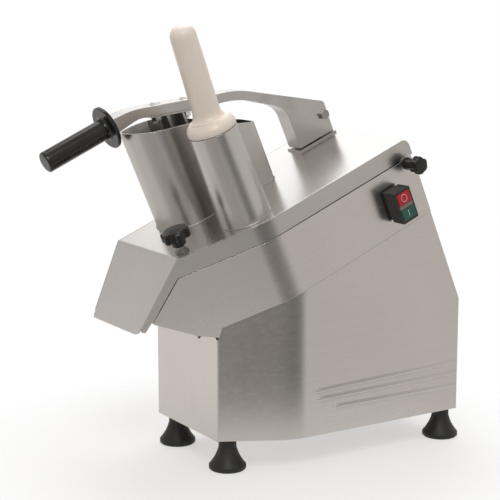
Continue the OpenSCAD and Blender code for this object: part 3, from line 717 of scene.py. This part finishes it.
@dataclass(frozen=True)
class Palette:
    """The machine's finishes."""

    side: Finish = PressedSteel(
        "casing_steel", rough=0.26, grain=Grain.LENGTH, edge=0.0,
        # Painted shade runs along these pressed lines and this seam, in millimetres along and up the near
        # face
        lines=((120.0, 100.0, 342.0, 107.0), (124.0, 89.0, 336.0, 92.0), (150.0, 75.5, 344.0, 75.0)),
        seam=(88.0, 228.8, 349.0, 340.1),
    )
    head: Finish = BrushedSteel("head_steel", rough=0.26, grain=Grain.SLOPE)
    panel: Finish = BrushedSteel("panel_steel", rough=0.34, grain=Grain.UPRIGHT)
    lid: Finish = BrushedSteel(
        "lid_steel", colour=(0.54, 0.52, 0.505), rough=0.25, grain=Grain.SLOPE, edge=0.002
    )
    flange: Finish = BrushedSteel(
        "flange_steel", colour=(0.47, 0.45, 0.43), rough=0.26, grain=Grain.SLOPE, edge=0.0
    )
    tube: Finish = BrushedSteel(
        "feed_steel", colour=(0.52, 0.495, 0.47), rough=0.3, grain=Grain.FEED, clouds=0.07
    )
    weld: Finish = BrushedSteel(
        "weld_steel", colour=(0.3, 0.285, 0.27), rough=0.42, grain=Grain.SLOPE, edge=0.0
    )
    alloy: Finish = CastMetal("cast_alloy")
    blasted: Finish = CastMetal("lever_alloy", colour=(0.5, 0.475, 0.455), rough=0.3)
    disc: Finish = TurnedSteel("disc_steel")
    shaft: Finish = TurnedSteel("shaft_steel", colour=(0.58, 0.58, 0.59), rings=2400.0)
    bright: Finish = CastMetal(
        "plated_steel", colour=(0.72, 0.71, 0.69), rough=0.2, grit=2200.0, edge=0.0006
    )
    bolt: Finish = CastMetal(
        "bolt_steel", colour=(0.3, 0.29, 0.275), rough=0.2, grit=1800.0, edge=0.0006
    )
    iron: Finish = CastMetal("cast_iron", colour=(0.16, 0.16, 0.165), rough=0.55, grit=600.0)
    bronze: Finish = CastMetal("sintered_bronze", colour=(0.6, 0.42, 0.2), rough=0.4)
    enamel: Finish = CastMetal(
        "motor_enamel", colour=(0.2, 0.23, 0.26), rough=0.42, grit=500.0, metallic=0.0
    )
    black: Finish = Moulded(
        "black_moulding", colour=(0.008, 0.008, 0.007), rough=0.3, dust=0.006, gloss=0.16
    )
    case: Finish = Moulded("switch_moulding", colour=(0.022, 0.024, 0.021), rough=0.4, dust=0.02)
    grip: Finish = Moulded(
        "grip_moulding", colour=(0.006, 0.006, 0.005), rough=0.22, dust=0.005, gloss=0.2, coat=0.4
    )
    rubber: Finish = Moulded(
        "foot_rubber", colour=(0.01, 0.01, 0.0095), rough=0.5, skin=900.0, dust=0.012
    )
    belt: Finish = Moulded("belt_rubber", colour=(0.016, 0.016, 0.016), rough=0.7, dust=0.015)
    red: Finish = Moulded(
        "stop_red", colour=(0.46, 0.02, 0.03), rough=0.4, dust=0.04, gloss=0.25
    )
    green: Finish = Moulded(
        "start_green", colour=(0.03, 0.11, 0.085), rough=0.4, dust=0.03, gloss=0.25
    )
    lens: Finish = Moulded("lamp_lens", colour=(0.16, 0.14, 0.115), rough=0.16, coat=0.6)
    white: Finish = FoodPlastic("pestle_plastic")
    sign: Finish = Moulded("sign_paint", colour=(0.8, 0.77, 0.74), rough=0.45, dust=0.02)


@dataclass
class Loft:
    """A band of equal rings that becomes one piece, closed to a loop or capped at its ends."""

    name: str
    rings: list[list[Vector]]
    closed: bool = True

    def piece(self, finish: Finish, body: str) -> None:
        """Builds the mesh and puts it on its body.

        Args:
            finish: what it is made of.
            body: the body that carries it.
        """
        work = bmesh.new()
        rows = [[work.verts.new(point) for point in ring] for ring in self.rings]
        count = len(rows[0])
        followers = rows[1:] + rows[:1] if self.closed else rows[1:]
        for row, after in zip(rows, followers):
            for i in range(count):
                j = (i + 1) % count
                work.faces.new((row[i], row[j], after[j], after[i]))
        if not self.closed:
            work.faces.new(list(reversed(rows[0])))
            work.faces.new(rows[-1])
        bmesh.ops.recalc_face_normals(work, faces=work.faces[:])
        mesh = bpy.data.meshes.new(self.name)
        work.to_mesh(mesh)
        work.free()
        mesh.shade_smooth()
        mesh.materials.append(finish.material())
        made = add_object(self.name, mesh)
        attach(made, body)
        LOG.info("made %s on %s", self.name, body)


def arc(centre: Point2, radius: float, start: float, end: float, count: int) -> list[Point2]:
    """Gives points on an arc.

    Args:
        centre: its centre.
        radius: its radius.
        start: first angle in degrees.
        end: last angle in degrees.
        count: how many points.

    Returns:
        The points, first to last.
    """
    steps = [math.radians(start + (end - start) * i / (count - 1)) for i in range(count)]
    return [(centre[0] + radius * math.cos(a), centre[1] + radius * math.sin(a)) for a in steps]


@dataclass
class SubAssembly:
    """Pieces that are dressed together."""

    palette: Palette

    def finishes(self) -> dict[str, Finish]:
        """Gives each node's finish."""
        return {}

    def fittings(self) -> None:
        """Adds the pieces that the solids leave out."""

    def build(self) -> None:
        """Dresses the nodes and adds the fittings."""
        for name, finish in self.finishes().items():
            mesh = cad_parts[name].data
            mesh.materials.clear()
            mesh.materials.append(finish.material())
            LOG.info("dressed %s in %s", name, mesh.materials[0].name)
        self.fittings()


@dataclass
class Casing(SubAssembly):
    """The lower casing on its four feet."""

    def finishes(self) -> dict[str, Finish]:
        """Gives each node's finish.

        Returns:
            Finishes by node name.
        """
        p = self.palette
        return {
            "base_casing": p.side,
            "front_panel": p.panel,
            "bottom_plate": p.side,
            "rubber_feet": p.rubber,
            "foot_screws": p.bright,
            "cable_gland": p.black,
        }


@dataclass
class FeedHead(SubAssembly):
    """The sloping head with tub, chute and hinge brackets."""

    def finishes(self) -> dict[str, Finish]:
        """Gives each node's finish.

        Returns:
            Finishes by node name.
        """
        p = self.palette
        return {
            "head_housing": p.head,
            "cutting_tub": p.alloy,
            "outlet_slide": p.head,
            "hinge_brackets": p.head,
            "clamp_boss": p.head,
            "lid_sensor": p.black,
        }


@dataclass
class Drive(SubAssembly):
    """Motor, belt and the bearings under the tub."""

    def finishes(self) -> dict[str, Finish]:
        """Gives each node's finish.

        Returns:
            Finishes by node name.
        """
        p = self.palette
        return {
            "bearing_housing": p.iron,
            "upper_bearing": p.shaft,
            "lower_bearing": p.shaft,
            "shaft_seal": p.rubber,
            "motor_body": p.enamel,
            "motor_shield": p.alloy,
            "fan_cover": p.enamel,
            "motor_plate": p.side,
            "capacitor": p.black,
            "drive_belt": p.belt,
            "motor_shaft": p.shaft,
            "motor_pulley": p.iron,
            "cooling_fan": p.black,
        }


@dataclass
class Spindle(SubAssembly):
    """The turning shaft with cutting disc and ejector."""

    def finishes(self) -> dict[str, Finish]:
        """Gives each node's finish.

        Returns:
            Finishes by node name.
        """
        p = self.palette
        return {
            "main_shaft": p.shaft,
            "driven_pulley": p.iron,
            "drive_hub": p.alloy,
            "cutting_disc": p.disc,
            "disc_knives": p.disc,
            "ejector_disc": p.white,
            "lock_screw": p.shaft,
        }


@dataclass
class Lid(SubAssembly):
    """The hinged lid with hood, hopper and tube."""

    hopper_front: Point2 = (85.25, 52.25)
    hopper_round: float = 43.75
    hopper_rear: float = 204.0
    hopper_corner: float = 12.0
    hopper_steps: int = 12
    hopper_points: tuple[int, int, int] = (41, 9, 15)
    tub_middle: Point2 = (118.0, 0.0)
    tub_round: float = 98.0
    tube_middle: Point2 = (108.5, -52.5)
    tube_round: float = 33.6
    tube_points: int = 60
    bead: float = 1.5
    bead_sunk: Point2 = (0.4, 0.3)
    bead_curve: tuple[Point2, Point2] = ((0.5, 0.32), (0.2, 0.75))
    bead_ripple: float = 0.07
    bead_pitch: float = 2.3

    def finishes(self) -> dict[str, Finish]:
        """Gives each node's finish.

        Returns:
            Finishes by node name.
        """
        p = self.palette
        return {
            "lid": p.lid,
            "lid_sides": p.flange,
            "lid_ears": p.head,
            "large_hopper": p.tube,
            "small_tube": p.tube,
            "lever_post": p.flange,
            "pivot_bush": p.bronze,
            "sensor_magnet": p.iron,
        }

    def hopper_outline(self) -> list[Point2]:
        """Gives the outline of the hopper's foot on the lid.

        Returns:
            Points along and across the lid, in millimetres.
        """
        near = self.hopper_front[1] - self.hopper_round
        far = self.hopper_front[1] + self.hopper_round
        bend = self.hopper_rear - self.hopper_corner
        reach = self.hopper_rear - self.tub_middle[0]
        first = math.degrees(math.acos(reach / self.tub_round))
        last = math.degrees(math.asin(far / self.tub_round))
        step = (bend - self.hopper_front[0]) / self.hopper_steps
        front, corner, rear = self.hopper_points
        return (
            arc(self.hopper_front, self.hopper_round, 90.0, 270.0, front)
            + [(self.hopper_front[0] + i * step, near) for i in range(1, self.hopper_steps)]
            + arc((bend, near + self.hopper_corner), self.hopper_corner, -90.0, 0.0, corner)
            + arc(self.tub_middle, self.tub_round, first, last, rear)
        )

    def weld(self, name: str, outline: list[Point2]) -> None:
        """Lays a weld bead round a foot on the lid.

        Args:
            name: the bead's name.
            outline: the foot's outline along and across the lid.
        """
        rings: list[list[Vector]] = []
        count = len(outline)
        middle = Vector((sum(p[0] for p in outline), sum(p[1] for p in outline))) / count
        inset, sunk = self.bead_sunk
        for i, point in enumerate(outline):
            run = (Vector(outline[(i + 1) % count]) - Vector(outline[i - 1])).normalized()
            side = Vector((run.y, -run.x))
            if side.dot(Vector(point) - middle) < 0.0:
                side.negate()
            size = self.bead * (1.0 + self.bead_ripple * math.sin(i * self.bead_pitch))
            curve = [(size * out, size * up) for out, up in self.bead_curve]
            shape = [(-inset, -sunk), (size, -sunk), *curve, (-inset, size)]
            rings.append([on_lid(point[0] + side.x * o, point[1] + side.y * o, h) for o, h in shape])
        Loft(name, rings).piece(self.palette.weld, "lid")

    def fittings(self) -> None:
        """Adds the welds at the feet of hopper and tube."""
        self.weld("hopper_weld", self.hopper_outline())
        last = 360.0 - 360.0 / self.tube_points
        self.weld("tube_weld", arc(self.tube_middle, self.tube_round, 0.0, last, self.tube_points))


@dataclass
class Lever(SubAssembly):
    """The feed lever with its pusher."""

    def finishes(self) -> dict[str, Finish]:
        """Gives each node's finish.

        Returns:
            Finishes by node name.
        """
        p = self.palette
        return {
            "lever_arm": p.blasted,
            "lever_grip": p.grip,
            "pusher_stem": p.tube,
            "pusher_plate": p.alloy,
            "lever_bolts": p.bright,
            "pivot_bolt": p.bolt,
        }


@dataclass
class Handwork(SubAssembly):
    """What is held or turned by hand: pestle and the two knobs."""

    def finishes(self) -> dict[str, Finish]:
        """Gives each node's finish.

        Returns:
            Finishes by node name.
        """
        p = self.palette
        return {
            "pestle": p.white,
            "front_washer": p.bolt,
            "front_knob": p.grip,
            "rear_washer": p.black,
            "rear_knob": p.grip,
            "hinge_pin": p.bolt,
        }


@dataclass
class Switch(SubAssembly):
    """The push button switch on the near side, with its two signs."""

    middle: Point2 = (292.0, -69.0)
    face: float = -125.8
    ring_height: float = 10.6
    ring_round: float = 4.9
    ring_narrow: float = 0.86
    ring_points: int = 48
    bar_height: float = -11.0
    bar_half: float = 4.6
    bar_rows: tuple[float, ...] = (-1.0, -0.4, 0.4, 1.0)
    stroke: float = 0.42
    proud: float = 0.18
    profile: tuple[Point2, ...] = ((-1.0, -0.2), (1.0, -0.2), (0.8, 1.0), (-0.8, 1.0))

    def finishes(self) -> dict[str, Finish]:
        """Gives each node's finish.

        Returns:
            Finishes by node name.
        """
        p = self.palette
        return {
            "switch_housing": p.case,
            "lamp_window": p.lens,
            "contact_block": p.black,
            "stop_button": p.red,
            "start_button": p.green,
        }

    def spot(self, s: float, h: float, out: float) -> Vector:
        """Gives a point over the button faces.

        Args:
            s: distance along the lid from the switch's middle.
            h: height over the switch's middle.
            out: how far the point stands out of the face.

        Returns:
            The point in the shared frame, in metres.
        """
        return on_lid(self.middle[0] + s, self.face - out, self.middle[1] + h)

    def ring(self) -> list[list[Vector]]:
        """Gives the ring on the stop button.

        Returns:
            A row of points for each place round the ring.
        """
        rows: list[list[Vector]] = []
        for i in range(self.ring_points):
            angle = math.tau * i / self.ring_points
            row: list[Vector] = []
            for offset, out in self.profile:
                radius = self.ring_round + offset * self.stroke
                s = radius * self.ring_narrow * math.cos(angle)
                h = self.ring_height + radius * math.sin(angle)
                row.append(self.spot(s, h, out * self.proud))
            rows.append(row)
        return rows

    def bar(self) -> list[list[Vector]]:
        """Gives the bar on the start button.

        Returns:
            A row of points for each place along the bar.
        """
        rows: list[list[Vector]] = []
        for end in self.bar_rows:
            h = self.bar_height + end * self.bar_half
            rows.append([self.spot(o * self.stroke, h, out * self.proud) for o, out in self.profile])
        return rows

    def fittings(self) -> None:
        """Adds the ring on the stop button and the bar on the start button."""
        Loft("stop_ring", self.ring()).piece(self.palette.sign, "stop_button")
        Loft("start_bar", self.bar(), False).piece(self.palette.sign, "start_button")


@dataclass(frozen=True)
class Glow:
    """A soft patch of the room, lighter or darker than the rest, by its angles in degrees."""

    toward: tuple[float, float, float]
    core: float
    reach: float
    level: float
    white: bool = False

    def share(self, graph: Graph, look: Sock) -> Sock:
        """Gives how much of the patch lies in a direction.

        Args:
            graph: the world's tree.
            look: the direction.

        Returns:
            1 within the core angle, falling to 0 at the reach angle.
        """
        axis = Vector(self.toward).normalized()
        edge = math.cos(math.radians(self.reach))
        full = math.cos(math.radians(self.core))
        return graph.span(graph.dot(look, axis), edge, full)


@dataclass(frozen=True)
class Lamp:
    """A soft square lamp."""

    name: str
    spot: tuple[float, float, float]
    size: float
    power: float


class Ray(Enum):
    """Rays that show a surface, by their mark on the light path."""

    CAMERA = "Is Camera Ray"
    GLOSSY = "Is Glossy Ray"
    TRANSMISSION = "Is Transmission Ray"


@dataclass
class Studio:
    """Camera, floor, lamps and surroundings."""

    eye: Vector = field(default_factory=lambda: MACHINE + Vector((-0.9119, -1.5647, 0.6087)))
    target: Vector = field(default_factory=lambda: MACHINE + Vector((0.1216, 0.0645, 0.2578)))
    lens: float = 104.84
    sensor: float = 36.0
    clip: float = 50.0
    floor_round: float = 0.47
    floor_points: int = 96
    floor_fade: Pair = (0.45, 0.98)
    floor_colour: Colour = (0.93, 0.925, 0.915)
    floor_white: float = 0.5
    white: Colour = (1.0, 1.0, 1.0)
    room_level: float = 0.8
    room_soft: float = 0.66
    room_least: float = 0.21
    room_colour: Colour = (1.0, 0.968, 0.935)
    # The white back and the lit ceiling first, then what the sheets mirror
    glows: tuple[Glow, ...] = (
        Glow((0.527, 0.83, -0.179), 20.0, 40.0, 0.2, True),
        Glow((0.43, 0.745, 0.515), 8.0, 22.0, 0.95, True),
        Glow((-0.52, 0.84, -0.18), 10.0, 26.0, 0.28),
        Glow((-0.5, 0.83, 0.24), 8.0, 22.0, -0.12),
        Glow((-0.6, -0.5, -0.62), 14.0, 32.0, -0.3),
        Glow((0.136, -0.965, -0.225), 11.0, 22.0, -0.62),
        Glow((-0.338, -0.928, -0.156), 6.0, 18.0, -0.6),
        Glow((-0.307, -0.760, -0.574), 10.0, 24.0, -0.06),
    )
    lamps: tuple[Lamp, ...] = (
        Lamp("key_lamp", (-0.9, -1.5, 2.0), 1.0, 19.0),
        Lamp("top_lamp", (0.3, 0.6, 1.8), 1.2, 10.0),
    )

    def camera(self) -> None:
        """Sets the camera at the photograph's view."""
        data = bpy.data.cameras.new("camera")
        data.lens = self.lens
        data.sensor_width = self.sensor
        data.clip_end = self.clip
        made = add_object("camera", data)
        made.location = self.eye
        aim(made, self.target)
        bpy.context.scene.camera = made

    def seen(self, graph: Graph) -> Sock:
        """Gives 1 for rays that show a surface and 0 for those that only light it.

        Args:
            graph: the tree to build in.

        Returns:
            The sum of the rays' marks.
        """
        camera, glossy, clear = (graph.get("ShaderNodeLightPath", None, None, ray.value) for ray in Ray)
        return camera + glossy + clear

    def floor(self) -> None:
        """Lays a pale floor that fades into the surroundings."""
        work = bmesh.new()
        bmesh.ops.create_circle(work, cap_ends=True, radius=self.floor_round, segments=self.floor_points)
        mesh = bpy.data.meshes.new("floor")
        work.to_mesh(mesh)
        work.free()
        paint = bpy.data.materials.new("floor_paint")
        paint.use_nodes = True
        graph = Graph(paint.node_tree)
        reach = graph.get("ShaderNodeVectorMath", {"operation": "LENGTH"}, {0: graph.place()}, "Value")
        matte = graph.get("ShaderNodeBsdfDiffuse", None, {"Color": rgba(self.floor_colour)})
        white = graph.get("ShaderNodeEmission", None, {"Strength": 1.0})
        share = self.seen(graph) * self.floor_white
        pale = graph.get("ShaderNodeMixShader", None, {0: share, 1: matte, 2: white})
        clear = graph.get("ShaderNodeBsdfTransparent")
        start, end = (self.floor_round * part for part in self.floor_fade)
        gone = graph.span(reach, start, end)
        mixed = graph.get("ShaderNodeMixShader", None, {0: gone, 1: pale, 2: clear})
        graph.node("ShaderNodeOutputMaterial", None, {"Surface": mixed})
        mesh.materials.append(paint)
        made = add_object("floor", mesh)

    def hang(self, lamp: Lamp) -> None:
        """Hangs a lamp that points at the machine.

        Args:
            lamp: its name, place, size and power.
        """
        data = bpy.data.lights.new(lamp.name, "AREA")
        data.size = lamp.size
        data.energy = lamp.power
        made = add_object(lamp.name, data)
        made.location = lamp.spot
        aim(made, self.target)

    def surroundings(self) -> None:
        """Paints a pale room with a white back, a lit ceiling and soft dark patches."""
        world = bpy.data.worlds.new("room")
        bpy.context.scene.world = world
        world.use_nodes = True
        graph = Graph(world.node_tree)
        look = graph.get("ShaderNodeTexCoord", None, None, "Generated")
        level: Num = self.room_level
        pale: Num = 0.0
        for glow in self.glows:
            share = glow.share(graph, look)
            level = share * glow.level + level
            if glow.white:
                pale = share + pale
        colour = graph.blend(pale, rgba(self.room_colour), rgba(self.white))
        level = graph.calc("MAXIMUM", level, self.room_least)
        level = level * (self.room_soft + self.seen(graph) * (1.0 - self.room_soft))
        sky = graph.get("ShaderNodeBackground", None, {"Color": colour, "Strength": level})
        graph.node("ShaderNodeOutputWorld", None, {"Surface": sky})

    def build(self) -> None:
        """Sets up the whole studio."""
        self.camera()
        self.floor()
        for lamp in self.lamps:
            self.hang(lamp)
        self.surroundings()
        bpy.context.scene.view_settings.view_transform = "Standard"
        LOG.info("studio ready")


def main() -> None:
    """Dresses the machine."""
    logging.basicConfig(level=logging.INFO, format="%(name)s: %(message)s")
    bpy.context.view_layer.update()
    palette = Palette()
    for group in (Casing, FeedHead, Drive, Spindle, Lid, Lever, Handwork, Switch):
        group(palette).build()
    Studio().build()


if __name__ == "__main__":
    main()
